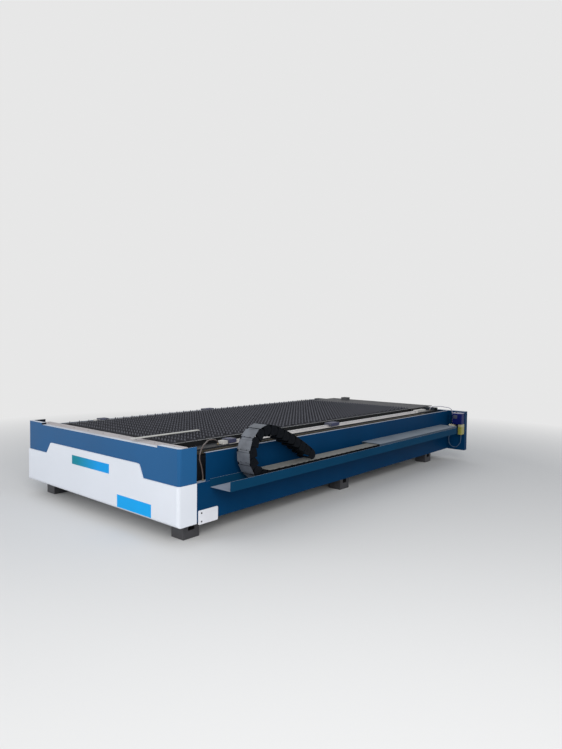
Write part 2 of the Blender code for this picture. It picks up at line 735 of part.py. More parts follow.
def smooth_route(knots, step):
    """Evenly spaced points on a Catmull-Rom curve through the knots."""
    knots = [Vector(knot) for knot in knots]
    padded = [2 * knots[0] - knots[1], *knots, 2 * knots[-1] - knots[-2]]
    dense = []
    for i in range(1, len(padded) - 2):
        a, b, c, d = padded[i - 1 : i + 3]
        for j in range(24):
            t = j / 24
            dense.append(
                0.5 * (2 * b + (c - a) * t + (2 * a - 5 * b + 4 * c - d) * t**2 + (3 * b - a - 3 * c + d) * t**3)
            )
    dense.append(knots[-1])
    total = sum((q - p).length for p, q in zip(dense, dense[1:]))
    count = max(2, round(total / step))
    route = [dense[0]]
    walked = 0.0
    for p, q in zip(dense, dense[1:]):
        length = (q - p).length
        while walked + length >= len(route) * total / count and len(route) < count:
            route.append(p.lerp(q, (len(route) * total / count - walked) / length))
        walked += length
    return route + [dense[-1]]


def cord(name, knots, diameter, look):
    curve = bpy.data.curves.new(name, "CURVE")
    curve.dimensions = "3D"
    curve.bevel_depth = diameter / 2
    curve.bevel_resolution = 2
    curve.use_fill_caps = True
    line = curve.splines.new("POLY")
    knots = [Vector(knot) for knot in knots]
    head = (knots[1] - knots[0]).normalized() * diameter
    tail = (knots[-2] - knots[-1]).normalized() * diameter
    middle = smooth_route([knots[0] + head, *knots[1:-1], knots[-1] + tail], 3 * diameter)
    route = [knots[0], *middle, knots[-1]]
    line.points.add(len(route) - 1)
    for point, place in zip(line.points, route):
        point.co = (*(place + SHIFT), 1.0)
    obj = bpy.data.objects.new(name, curve)
    bpy.context.scene.collection.objects.link(obj)
    paint(obj, *look)


def hoses():
    loop = [
        (0.045, 4.362, MANIFOLD_Z[0] - GAP),
        (0.045, 4.362, 0.225),
        (0.022, 4.356, 0.130),
        (0.052, 4.350, 0.056),
        (0.110, 4.350, 0.040),
        (0.166, 4.350, 0.085),
        (0.182, 4.350, 0.150),
        (0.182, 4.350, TANK_Z0 - GAP),
    ]
    cord("oil_hose_supply", loop, 0.010, RUBBER)
    riser = [
        (0.067, 4.352, MANIFOLD_Z[1] + GAP),
        (0.067, 4.352, 0.380),
        (0.066, 4.350, 0.460),
        (0.050, 4.340, 0.515),
        (-0.020, 4.300, 0.540),
        (-0.100, 4.245, 0.546),
        (-0.158, 4.206, 0.532),
        (-0.170, 4.198, BEAM_TOP + 0.014),
        (-0.170, 4.198, BEAM_TOP + GAP),
    ]
    cord("oil_hose_riser", riser, 0.009, CREAM)
    front = [
        (-0.190, 0.540, BEAM_TOP + GAP),
        (-0.190, 0.540, BEAM_TOP + 0.014),
        (-0.186, 0.512, 0.530),
        (-0.160, 0.430, 0.545),
        (-0.100, 0.330, 0.538),
        (-0.056, 0.262, 0.520),
        (-0.048, 0.236, 0.486),
        (-0.046, 0.228, 0.444),
        (-0.042, 0.240, 0.398),
        (-0.038, 0.252, 0.330),
        (-0.038, 0.254, LOWER_TOP + GAP),
    ]
    cord("grease_hose_front", front, 0.011, CREAM)


def build():
    clear_scene()
    front_cover_lower()
    front_cover_upper()
    side_beam("side_beam_right", False)
    side_beam("side_beam_left", True)
    end_beams()
    cross_members()
    rim_plates()
    slat_sections()
    loose_strip()
    guides("right", False)
    guides("left", True)
    side_panels()
    rear_cover()
    chain_tray()
    lower_run()
    drag_chain()
    levelling_feet()
    scrap_trays()
    side_bracket()
    lubricator()
    hoses()


build()
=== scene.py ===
"""The look of the laser cutting machine bed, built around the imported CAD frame."""

import json
import math

import bmesh
import bpy
from mathutils import Matrix, Vector

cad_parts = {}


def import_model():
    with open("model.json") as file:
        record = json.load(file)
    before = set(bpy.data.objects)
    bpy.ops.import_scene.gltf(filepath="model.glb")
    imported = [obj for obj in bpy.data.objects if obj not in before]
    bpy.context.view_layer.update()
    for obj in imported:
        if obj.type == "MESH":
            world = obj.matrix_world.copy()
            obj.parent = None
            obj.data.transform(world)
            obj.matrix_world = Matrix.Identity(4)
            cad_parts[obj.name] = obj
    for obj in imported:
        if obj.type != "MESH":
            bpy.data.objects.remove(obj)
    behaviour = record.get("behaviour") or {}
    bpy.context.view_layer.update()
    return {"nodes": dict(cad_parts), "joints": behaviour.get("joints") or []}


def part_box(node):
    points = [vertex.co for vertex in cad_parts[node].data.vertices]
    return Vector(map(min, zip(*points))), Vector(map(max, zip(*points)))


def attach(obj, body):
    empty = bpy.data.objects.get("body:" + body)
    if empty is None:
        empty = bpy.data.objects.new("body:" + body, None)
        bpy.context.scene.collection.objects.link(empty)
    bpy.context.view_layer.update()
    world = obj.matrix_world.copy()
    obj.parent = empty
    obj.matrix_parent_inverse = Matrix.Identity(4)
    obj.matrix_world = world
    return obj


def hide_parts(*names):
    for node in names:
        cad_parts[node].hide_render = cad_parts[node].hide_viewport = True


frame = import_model()

# Sizes and places are in metres, in the work frame of the CAD source: x = 0 on the right cover side, y = 0
# on the front face and z = 0 on the lower edge of the covers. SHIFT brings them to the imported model's frame.
SHIFT = Vector((0.995, -2.235, 0.135))
MOVE = Matrix.Translation(SHIFT)
COVER_W = 2.2
LENGTH = 4.47
MIDDLE_X = SHIFT.x - COVER_W / 2

# What stands proud of a face or is sunk in it, so that no two faces lie in one plane
PROUD = 0.0002

# Slat table
SLAT_END = 0.018
TOOTH_PITCH = 0.038
TIP_START = 0.42
TIP_END = 0.58
TOOTH_DEPTH = 0.030
SLAT_T = 0.003
SLATS = 13
COMB_T = 0.030
COMB_SKIN = 0.006
COMB_DROP = 0.021
COMB_EDGE = 0.003
SECTION_GAP = 0.002
SLAT_WORN_Z = 0.536

# Guides
BEAM_TOP = 0.494
RACK_PITCH = 0.0063
RACK_TOOTH = 0.0045
RAIL_BOLTS = 54
SEAT_TOWARDS_TABLE = 0.055
SEAT_TOWARDS_RACK = 0.038
SEAL_T = 0.006
SEAL_LIP = 0.0006
BLOCK_SCREW_X = 0.012
BLOCK_SCREW_Y = 0.020

# Drag chain
PITCH = 0.078
HALF_W = 0.065
EAR_R = 0.037
LID = 0.040
PIN_R = 0.013
TONGUE_R = 0.0355
TONGUE_SKIN = 1.015
TONGUE_HALF_W = 0.0540
SIDE_SKIN = 0.0012
LID_SKIN = 0.0010
LID_GAP = 0.0016
LID_RAIL_W = 0.0045
LID_RAIL_GAP = 0.0005
TAB_X = (-0.0340, 0.0220)
TAB_W = 0.0120
TAB_Y = (0.0050, 0.0105)
TAB_SLIT = 0.0005

# Top of the front and rear plates
PLATE_TOP = 0.5300

# Rear cover's front wall, where the lubricator hangs, and the level of the oil in its reservoir
WALL_Y = 4.3997
OIL_LEVEL = 0.302

# Printed fields on the front, and where the colour of the long one turns
STRIP = (-1.399, -0.840, 0.2525, 0.3275)
STRIP_TURN = (-1.32, -1.00)
BADGE = (-0.730, -0.302, 0.0165, 0.1125)

# Setting
BACKGROUND = (0.80, 0.80, 0.80)
FLOOR = (0.74, 0.74, 0.74)
FLOOR_SIZE = 160
FLOOR_FADE = (3.2, 7.0)
SKY_COLOUR = (0.93, 0.96, 1.0)
SKY_STRENGTH = 0.54

# Camera, from the fit to the photograph: its place, its turn in degrees and its focal length in pixels
CAMERA_PLACE = (2.9051, -2.3523, 1.2124)
CAMERA_YAW = 40.4278
CAMERA_PITCH = 2.3347
CAMERA_ROLL = -0.7129
FOCAL_PX = 548.18
PHOTO_HEIGHT_PX = 749.0
SENSOR_W = 36.0


# Materials


def tree_of(name):
    material = bpy.data.materials.new(name)
    material.use_nodes = True
    tree = material.node_tree
    return material, tree, tree.nodes["Principled BSDF"]


def shade_of(colour, part):
    return (*(min(1.0, max(0.0, c * part)) for c in colour), 1)


def ranged(tree, value, low, high, to_low, to_high):
    """A value carried from one range to another, held at its ends."""
    node = tree.nodes.new("ShaderNodeMapRange")
    node.inputs["From Min"].default_value = low
    node.inputs["From Max"].default_value = high
    node.inputs["To Min"].default_value = to_low
    node.inputs["To Max"].default_value = to_high
    tree.links.new(value, node.inputs["Value"])
    return node.outputs["Result"]


def mixed(tree, factor, first, second):
    """Two colours mixed by a factor. Each may be a socket or a plain colour."""
    node = tree.nodes.new("ShaderNodeMix")
    node.data_type = "RGBA"
    tree.links.new(factor, node.inputs[0])
    for socket, colour in ((node.inputs[6], first), (node.inputs[7], second)):
        if isinstance(colour, tuple):
            socket.default_value = (*colour, 1)
        else:
            tree.links.new(colour, socket)
    return node.outputs[2]


def product(tree, first, second):
    node = tree.nodes.new("ShaderNodeMath")
    node.operation = "MULTIPLY"
    tree.links.new(first, node.inputs[0])
    tree.links.new(second, node.inputs[1])
    return node.outputs["Value"]


def axis_of(tree, output, axis):
    """One axis of the object's own coordinates or of its normal."""
    place = tree.nodes.new("ShaderNodeTexCoord")
    split = tree.nodes.new("ShaderNodeSeparateXYZ")
    tree.links.new(place.outputs[output], split.inputs["Vector"])
    return split.outputs[axis]


def finish_of(
    name,
    colour,
    metallic=0.0,
    roughness=0.5,
    specular=0.5,
    grain=0.05,
    scale=12.0,
    stretch=(1, 1, 1),
    bump=0.0,
    bump_scale=60.0,
    dust_and_top_light=None,
    dust_and_top_light_part=0.8,
    above=None,
    inside=None,
):
    """A finish with a little uneven tone and gloss. Where asked, it has a fine relief, a dusty pale tone with
    painted top light on the faces that look up, another colour above a height, or painted shade on the sides
    that face the machine's middle."""
    material, tree, shader = tree_of(name)
    nodes = tree.nodes
    links = tree.links
    shader.inputs["Metallic"].default_value = metallic
    shader.inputs["Specular IOR Level"].default_value = specular
    place = nodes.new("ShaderNodeTexCoord")
    mapping = nodes.new("ShaderNodeMapping")
    mapping.inputs["Scale"].default_value = stretch
    links.new(place.outputs["Object"], mapping.inputs["Vector"])
    noise = nodes.new("ShaderNodeTexNoise")
    noise.inputs["Scale"].default_value = scale
    noise.inputs["Detail"].default_value = 5.0
    links.new(mapping.outputs["Vector"], noise.inputs["Vector"])
    ramp = nodes.new("ShaderNodeValToRGB")
    ramp.color_ramp.elements[0].position = 0.30
    ramp.color_ramp.elements[1].position = 0.70
    ramp.color_ramp.elements[0].color = shade_of(colour, 1 - grain)
    ramp.color_ramp.elements[1].color = shade_of(colour, 1 + grain)
    links.new(noise.outputs["Fac"], ramp.inputs["Fac"])
    result = ramp.outputs["Color"]
    if above is not None:
        height, upper = above
        step = ranged(tree, axis_of(tree, "Object", "Z"), height - 0.0005, height + 0.0005, 0.0, 1.0)
        result = mixed(tree, step, result, upper)
    # Faces towards the machine's middle take another colour: painted shade on the inner faces of the cover's
    # returns.
    if inside is not None:
        half = ranged(tree, axis_of(tree, "Object", "X"), MIDDLE_X - 0.1, MIDDLE_X + 0.1, 1.0, -1.0)
        facing = product(tree, half, axis_of(tree, "Normal", "X"))
        result = mixed(tree, ranged(tree, facing, 0.4, 0.6, 0.0, 1.0), result, inside)
    # Faces that look up turn towards a pale tone in noisy patches: partly dusty grime, partly painted top
    # light.
    if dust_and_top_light is not None:
        up = ranged(tree, axis_of(tree, "Normal", "Z"), 0.55, 0.95, 0.0, 1.0)
        patches = ranged(tree, noise.outputs["Fac"], 0.30, 0.60, dust_and_top_light_part * 0.75, dust_and_top_light_part)
        result = mixed(tree, product(tree, up, patches), result, dust_and_top_light)
    links.new(result, shader.inputs["Base Color"])
    gloss = ranged(tree, noise.outputs["Fac"], 0.30, 0.70, roughness - 0.05, roughness + 0.05)
    links.new(gloss, shader.inputs["Roughness"])
    if bump:
        fine = nodes.new("ShaderNodeTexNoise")
        fine.inputs["Scale"].default_value = bump_scale
        fine.inputs["Detail"].default_value = 3.0
        links.new(mapping.outputs["Vector"], fine.inputs["Vector"])
        relief = nodes.new("ShaderNodeBump")
        relief.inputs["Strength"].default_value = bump
        relief.inputs["Distance"].default_value = 0.002
        links.new(fine.outputs["Fac"], relief.inputs["Height"])
        links.new(relief.outputs["Normal"], shader.inputs["Normal"])
    return material


def fade_of(name, left, right, x0, x1):
    """A printed field whose colour runs from left to right between two places in x."""
    material, tree, shader = tree_of(name)
    shader.inputs["Specular IOR Level"].default_value = 0.1
    along = ranged(tree, axis_of(tree, "Object", "X"), x0, x1, 0.0, 1.0)
    tree.links.new(mixed(tree, along, left, right), shader.inputs["Base Color"])
    shader.inputs["Roughness"].default_value = 0.45
    return material


# A pale tone for faces that look up: dusty grime and painted top light.
PALE_DUST_AND_TOP_LIGHT = (0.42, 0.46, 0.54)
WHITE = finish_of(
    "white_powder_coat",
    (0.66, 0.69, 0.75),
    roughness=0.42,
    grain=0.015,
    scale=3.0,
    bump=0.05,
    bump_scale=300,
)
# The pale tone on the faces that look up is partly dusty grime, partly a painted highlight along the top
# flange.
BLUE = finish_of(
    "blue_powder_coat",
    (0.0105, 0.087, 0.226),
    roughness=0.45,
    specular=0.16,
    scale=2.5,
    bump=0.05,
    bump_scale=300,
    dust_and_top_light=(0.62, 0.67, 0.76),
    dust_and_top_light_part=1.0,
    # Near black on the faces towards the machine's middle: painted shade inside the returns.
    inside=(0.006, 0.010, 0.018),
)
# Faces that look up go pale: dusty grime and painted top light.
NAVY = finish_of(
    "navy_powder_coat",
    (0.0016, 0.034, 0.098),
    roughness=0.40,
    specular=0.02,
    grain=0.10,
    scale=2.0,
    bump=0.05,
    bump_scale=300,
    dust_and_top_light=PALE_DUST_AND_TOP_LIGHT,
)
# The tray's floor and other faces that look up go pale: dusty grime and painted top light.
TRAY = finish_of(
    "tray_powder_coat",
    (0.0035, 0.040, 0.092),
    roughness=0.40,
    specular=0.01,
    grain=0.08,
    scale=3.0,
    bump=0.05,
    bump_scale=300,
    dust_and_top_light=PALE_DUST_AND_TOP_LIGHT,
)
FRAME = finish_of("frame_primer", (0.020, 0.026, 0.034), roughness=0.6, specular=0.2, grain=0.2, scale=8)
BEAM = finish_of(
    "beam_primer_and_bright_stops",
    (0.012, 0.014, 0.018),
    roughness=0.5,
    specular=0.3,
    grain=0.2,
    scale=8,
    above=(BEAM_TOP + 0.0006 + SHIFT.z, (0.50, 0.49, 0.47)),
)
MILLED = finish_of(
    "milled_plate",
    (0.46, 0.43, 0.44),
    metallic=0.1,
    roughness=0.6,
    specular=0.25,
    grain=0.12,
    scale=5,
    bump=0.1,
    bump_scale=90,
    stretch=(1, 8, 1),
)
# The rear plate's milled steel, much darker than the front plate's: painted shade at the far end.
REAR_MILLED_SHADED = finish_of(
    "rear_milled_plate_painted_shade", (0.085, 0.085, 0.090), roughness=0.65, specular=0.2, grain=0.12, scale=5
)
GROUND = finish_of("ground_rail", (0.62, 0.61, 0.62), metallic=0.6, roughness=0.35, grain=0.06, scale=10)
SEAT = finish_of(
    "machined_rail_seat", (0.60, 0.58, 0.56), metallic=0.2, roughness=0.45, grain=0.08, scale=10
)
BLOCK = finish_of(
    "rail_block", (0.060, 0.066, 0.125), metallic=0.2, roughness=0.5, specular=0.3, grain=0.08, scale=20
)
SEAL = finish_of("block_seal", (0.045, 0.050, 0.075), roughness=0.5, grain=0.05)
RACK = finish_of("oiled_rack", (0.075, 0.065, 0.048), metallic=0.3, roughness=0.45, grain=0.2, scale=15)
SLAT = finish_of(
    "slat_steel",
    (0.026, 0.027, 0.035),
    metallic=0.25,
    roughness=0.6,
    grain=0.35,
    scale=9,
    bump=0.2,
    bump_scale=120,
    above=(SLAT_WORN_Z + SHIFT.z, (0.094, 0.097, 0.117)),
)
# Near black for the comb's outer skins: steel darkened as painted shade on the side.
COMB_SIDE_SHADE = finish_of("comb_steel_painted_shade", (0.010, 0.011, 0.012), roughness=0.6, specular=0.1, grain=0.25, scale=9)
COMB_TOP = finish_of(
    "comb_top_steel", (0.052, 0.054, 0.060), roughness=0.6, specular=0.3, grain=0.25, scale=9
)
# A pale strip along the comb's outer top edge.
PALE_EDGE = finish_of("pale_edge_steel", (0.42, 0.43, 0.45), metallic=0.3, roughness=0.45, grain=0.15, scale=25)
FOOT = finish_of("foot_steel", (0.050, 0.050, 0.056), metallic=0.2, roughness=0.5, grain=0.15)
# Faces that look up go paler: dusty grime and painted top light.
DECK = finish_of(
    "deck_plate",
    (0.020, 0.045, 0.080),
    roughness=0.5,
    specular=0.3,
    grain=0.15,
    scale=6,
    dust_and_top_light=(0.20, 0.235, 0.275),
    dust_and_top_light_part=1.0,
)
BAR = finish_of("bar_metal", (0.52, 0.52, 0.50), metallic=0.3, roughness=0.4, grain=0.05)
BRACKET = finish_of("bracket_paint", (0.68, 0.69, 0.74), roughness=0.45, grain=0.04)
# Pale grey on the lids of the black plastic chain: painted top light and sheen.
CHAIN_LID_TOP_LIGHT = finish_of(
    "chain_lid_plastic_painted_top_light",
    (0.120, 0.130, 0.150),
    roughness=0.55,
    specular=0.3,
    grain=0.25,
    scale=14,
    bump=0.1,
    bump_scale=200,
)
# Pale on the lower run's upturned faces: dusty grime and painted top light.
CHAIN_DUSTY_TOP_LIGHT = finish_of(
    "dusty_chain_plastic_painted_top_light",
    (0.200, 0.200, 0.190),
    roughness=0.7,
    specular=0.2,
    grain=0.15,
    scale=9,
    stretch=(1, 3, 1),
)
# Near black for the chain's links, sides and pins: black plastic darkened further as painted shade.
CHAIN_PAINTED_SHADE = finish_of(
    "chain_plastic", (0.0040, 0.0050, 0.0070), roughness=0.6, specular=0.04, grain=0.2, scale=14
)
# The pump's faces that look up go pale: dusty grime and painted top light.
PUMP = finish_of("pump_paint", (0.004, 0.008, 0.085), roughness=0.40, specular=0.10, dust_and_top_light=PALE_DUST_AND_TOP_LIGHT)
OIL = finish_of(
    "oil_tank",
    (0.24, 0.23, 0.045),
    roughness=0.3,
    grain=0.10,
    scale=20,
    above=(SHIFT.z + OIL_LEVEL, (0.30, 0.29, 0.16)),
)
CREAM = finish_of("cream_plastic", (0.56, 0.52, 0.40), roughness=0.45, grain=0.05)
RUBBER = finish_of("hose_rubber", (0.045, 0.085, 0.150), roughness=0.5, grain=0.1)
NYLON = finish_of("nylon_tube", (0.36, 0.35, 0.42), roughness=0.4, grain=0.05)
GREASE = finish_of("grease_tube", (0.075, 0.058, 0.055), roughness=0.4, grain=0.15, scale=60)
BRIGHT = finish_of("bright_badge", (0.004, 0.330, 0.750), roughness=0.45, specular=0.1, grain=0.03)
SCREW = finish_of("zinc_screw", (0.40, 0.41, 0.43), metallic=0.8, roughness=0.35, grain=0.05)
BLACK_SCREW = finish_of("black_screw", (0.020, 0.020, 0.022), metallic=0.5, roughness=0.45, grain=0.05)
BRASS = finish_of("brass_fitting", (0.16, 0.13, 0.08), metallic=0.5, roughness=0.45, grain=0.05)


# Building blocks


class Parts:
    """Simple shapes gathered into one mesh."""

    def __init__(self):
        self.points = []
        self.faces = []

    def add(self, points, faces, move=None):
        start = len(self.points)
        if move is not None:
            points = [move @ Vector(p) for p in points]
        self.points += [tuple(p) for p in points]
        self.faces += [tuple(start + i for i in face) for face in faces]

    def box(self, x0, x1, y0, y1, z0, z1, move=None):
        points = [(x, y, z) for z in (z0, z1) for y in (y0, y1) for x in (x0, x1)]
        faces = [(0, 2, 3, 1), (4, 5, 7, 6), (0, 1, 5, 4), (2, 6, 7, 3), (0, 4, 6, 2), (1, 3, 7, 5)]
        self.add(points, faces, move)

    def prism(self, outline, axis, a0, a1, move=None):
        place = {
            "x": lambda u, v, a: (a, u, v),
            "y": lambda u, v, a: (u, a, v),
            "z": lambda u, v, a: (u, v, a),
        }[axis]
        count = len(outline)
        points = [place(u, v, a) for a in (a0, a1) for u, v in outline]
        faces = [tuple(range(count)), tuple(range(2 * count - 1, count - 1, -1))]
        faces += [(i, i + count, (i + 1) % count + count, (i + 1) % count) for i in range(count)]
        self.add(points, faces, move)

    def rod(self, centre, axis, radius, length, sides=12, dish=0.0, move=None):
        """A round head or pin from its foot along an axis, with a chamfered end and perhaps a socket."""
        place = {
            "x": lambda u, v, h: (h, u, v),
            "-x": lambda u, v, h: (-h, u, v),
            "y": lambda u, v, h: (u, h, v),
            "-y": lambda u, v, h: (u, -h, v),
            "z": lambda u, v, h: (u, v, h),
            "-z": lambda u, v, h: (u, v, -h),
        }[axis]
        rings = [(radius, 0.0), (radius, length * 0.7), (radius * 0.8, length)]
        if dish:
            rings += [(radius * 0.45, length), (radius * 0.40, length - dish)]
        points = []
        for ring_radius, height in rings:
            for i in range(sides):
                angle = 2 * math.pi * i / sides
                point = place(ring_radius * math.cos(angle), ring_radius * math.sin(angle), height)
                points.append(Vector(point) + Vector(centre))
        last = sides * (len(rings) - 1)
        faces = [tuple(range(sides)), tuple(range(last + sides - 1, last - 1, -1))]
        for k in range(len(rings) - 1):
            for i in range(sides):
                j = (i + 1) % sides
                faces.append((k * sides + i, (k + 1) * sides + i, (k + 1) * sides + j, k * sides + j))
        self.add(points, faces, move)

    def make(self, name, material, body="bed", smooth=False, bevel=0.0, replaces=None):
        mesh = bpy.data.meshes.new(name)
        mesh.from_pydata(self.points, [], self.faces)
        work = bmesh.new()
        work.from_mesh(mesh)
        bmesh.ops.recalc_face_normals(work, faces=work.faces)
        work.to_mesh(mesh)
        work.free()
        obj = bpy.data.objects.new(name, mesh)
        bpy.context.scene.collection.objects.link(obj)
        obj.data.materials.append(material)
        if smooth:
            mesh.shade_smooth()
            mesh.set_sharp_from_angle(angle=math.radians(35))
        if bevel:
            soften(obj, bevel, weld=False)
        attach(obj, body)
        if replaces:
            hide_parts(replaces)
        return obj


def soften(obj, width, segments=1, weld=True):
    """Rounds the edges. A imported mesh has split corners, which are joined first."""
    if weld:
        join = obj.modifiers.new("join", "WELD")
        join.merge_threshold = 0.00002
    edge = obj.modifiers.new("edge", "BEVEL")
    edge.width = width
    edge.segments = segments
    edge.limit_method = "ANGLE"
    edge.angle_limit = math.radians(40)


def dress(node, material, bevel=0.0, segments=1):
    obj = frame["nodes"][node]
    obj.data.materials.clear()
    obj.data.materials.append(material)
    if bevel:
        soften(obj, bevel, segments)
    return obj


# CAD pieces that are shown as they are


def dress_frame():
    dress("front_cover_lower", WHITE, 0.0012, 2)
    dress("front_cover_upper", BLUE, 0.0012, 2)
    dress("rear_cover", NAVY, 0.0010)
    for node in ("right_upper_panel", "right_lower_panel", "left_side_panel"):
        dress(node, NAVY, 0.0008)
    dress("chain_tray", TRAY, 0.0008)
    dress("chain_tray_deck", DECK, 0.0006)
    for side in ("right", "left"):
        dress(f"side_beam_{side}", BEAM, 0.002)
        for i in (1, 2, 3):
            dress(f"levelling_foot_{side}_{i}", FOOT, 0.0015)
    for node in ("front_end_beam", "rear_end_beam", "cross_member_1", "cross_member_2", "cross_member_3"):
        dress(node, FRAME, 0.002)
    dress("front_rim_plate", MILLED, 0.0008)
    dress("rear_rim_plate", REAR_MILLED_SHADED, 0.0008)
    for i in (1, 2):
        dress(f"scrap_tray_{i}", FRAME)
    dress("straight_edge_bar", BAR, 0.0008)
    dress("side_bracket_plate", BRACKET, 0.0006)
    dress("lubricator_pump", PUMP, 0.0015, 2)
    dress("oil_reservoir", OIL, 0.0015, 2)
    dress("oil_manifold", CREAM, 0.0015, 2)


# Slat table


def saw_slat(slats, left, right, y, z0, z1):
    """One slat: a flat foot and a saw edge with blunt tips."""
    count = round((right - left) / TOOTH_PITCH)
    pitch = (right - left) / count
    outline = [(left, z0), (left, z1 - TOOTH_DEPTH)]
    for k in range(count):
        a = left + k * pitch
        outline += [(a + pitch * TIP_START, z1), (a + pitch * TIP_END, z1), (a + pitch, z1 - TOOTH_DEPTH)]
    outline.append((right, z0))
    slats.prism(outline, "y", y - SLAT_T / 2, y + SLAT_T / 2)


def comb_bar(skins, fingers, edges, outer, inward, y0, y1, z0, top, step):
    """A bar along the slats' ends: an outer skin, fingers that hold the slats between them and a pale strip
    along the outer top edge. Inward is 1 or -1."""
    end = y1 - SECTION_GAP
    skin = sorted((outer, outer + inward * COMB_SKIN))
    inside = sorted((outer + inward * COMB_SKIN, outer + inward * COMB_T))
    skins.box(*skin, y0, end, z0, top)
    for i in range(SLATS + 1):
        a = y0 if i == 0 else y0 + (i - 0.5) * step + SLAT_T
        b = end if i == SLATS else y0 + (i + 0.5) * step - SLAT_T
        fingers.box(*inside, a, b, z0, top)
    edge = sorted((outer, outer + inward * COMB_EDGE))
    edges.box(*edge, y0, end, top - 0.002, top + 0.0008)


def slat_sections():
    for n in (1, 2, 3):
        node = f"slat_section_{n}"
        (x0, y0, z0), (x1, y1, z1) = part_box(node)
        step = (y1 - y0) / SLATS
        slats = Parts()
        for i in range(SLATS):
            saw_slat(slats, x0 + SLAT_END, x1 - SLAT_END, y0 + (i + 0.5) * step, z0, z1)
        skins = Parts()
        fingers = Parts()
        edges = Parts()
        comb_bar(skins, fingers, edges, x0, 1, y0, y1, z0, z1 - COMB_DROP, step)
        comb_bar(skins, fingers, edges, x1, -1, y0, y1, z0, z1 - COMB_DROP, step)
        slats.make(f"saw_slats_{n}", SLAT, replaces=node)
        # The outer skins take the near black of painted shade.
        skins.make(f"comb_skins_{n}", COMB_SIDE_SHADE, replaces=node)
        fingers.make(f"comb_fingers_{n}", COMB_TOP, bevel=0.0008, replaces=node)
        edges.make(f"comb_edges_{n}", PALE_EDGE, replaces=node)


# Guides and racks


def rail_seat(side):
    """The machined strip of the beam's top that carries the rail, from stop to stop."""
    (x0, y0, _), (x1, y1, _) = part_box(f"rail_{side}")
    before, after = SEAT_TOWARDS_TABLE, SEAT_TOWARDS_RACK
    if side == "left":
        before, after = after, before
    z = BEAM_TOP + SHIFT.z
    seat = Parts()
    seat.box(x0 - before, x1 + after, y0, y1, z - PROUD, z + 0.0005)
    seat.make(f"rail_seat_{side}", SEAT)


def rail_outline(centre, half, z0, height):
    """A rail's section, with a groove for the balls on both sides."""
    right = [
        (half, 0),
        (half, height * 0.30),
        (half * 0.72, height * 0.48),
        (half * 0.72, height * 0.60),
        (half, height * 0.78),
        (half, height * 0.92),
        (half * 0.9, height),
    ]
    return [(centre + u, z0 + v) for u, v in right] + [(centre - u, z0 + v) for u, v in reversed(right)]


def guide_rail(side):
    node = f"rail_{side}"
    (x0, y0, z0), (x1, y1, z1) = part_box(node)
    rail = Parts()
    rail.prism(rail_outline((x0 + x1) / 2, (x1 - x0) / 2, z0, z1 - z0), "y", y0, y1)
    rail.make(f"guide_rail_{side}", GROUND, replaces=node)
    caps = Parts()
    for i in range(RAIL_BOLTS):
        y = y0 + (i + 0.5) * (y1 - y0) / RAIL_BOLTS
        caps.rod(((x0 + x1) / 2, y, z1 - 0.0004), "z", 0.0055, 0.0006)
    caps.make(f"rail_bolt_caps_{side}", BLACK_SCREW)


def toothed_rack(side):
    node = f"rack_{side}"
    (x0, y0, z0), (x1, y1, z1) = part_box(node)
    tip, back = (x1, x0) if side == "right" else (x0, x1)
    root = tip - RACK_TOOTH if side == "right" else tip + RACK_TOOTH
    outline = [(back, y0), (root, y0)]
    for i in range(int((y1 - y0) / RACK_PITCH)):
        y = y0 + i * RACK_PITCH
        outline += [(root, y + RACK_PITCH * 0.15), (tip, y + RACK_PITCH * 0.40)]
        outline += [(tip, y + RACK_PITCH * 0.65), (root, y + RACK_PITCH * 0.90)]
    outline += [(root, y1), (back, y1)]
    rack = Parts()
    rack.prism(outline, "z", z0, z1)
    rack.make(f"toothed_rack_{side}", RACK, replaces=node)


def block_seal(seal, x0, x1, y0, y1, z0, z1):
    """An end seal, a little wider than the block, with its notch over the rail."""
    cx = (x0 + x1) / 2
    half = (x1 - x0) / 2
    right = [
        (0.014, z0 + 0.0165),
        (0.014, z0 + 0.001),
        (half - 0.006, z0 + 0.001),
        (half + SEAL_LIP, z0 + 0.004),
        (half + SEAL_LIP, z1 - 0.004),
        (half - 0.004, z1 + SEAL_LIP),
    ]
    outline = [(cx + u, z) for u, z in right] + [(cx - u, z) for u, z in reversed(right)]
    seal.prism(outline, "y", y0, y1)


def carriages():
    for side in ("right", "left"):
        for i in (1, 2):
            node = f"carriage_{side}_{i}"
            body = f"{node}_block"
            dress(node, BLOCK, 0.0012, 2)
            (x0, y0, z0), (x1, y1, z1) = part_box(node)
            screws = Parts()
            for x in (x0 + BLOCK_SCREW_X, x1 - BLOCK_SCREW_X):
                for y in (y0 + BLOCK_SCREW_Y, y1 - BLOCK_SCREW_Y):
                    screws.rod((x, y, z1 - 0.0006), "z", 0.0048, 0.0014, dish=0.0006)
            screws.make(f"{node}_bolts", BLACK_SCREW, body)
            seal = Parts()
            block_seal(seal, x0, x1, y0 - PROUD, y0 + SEAL_T, z0, z1)
            block_seal(seal, x0, x1, y1 - SEAL_T, y1 + PROUD, z0, z1)
            seal.make(f"{node}_seals", SEAL, body)


# Drag chain


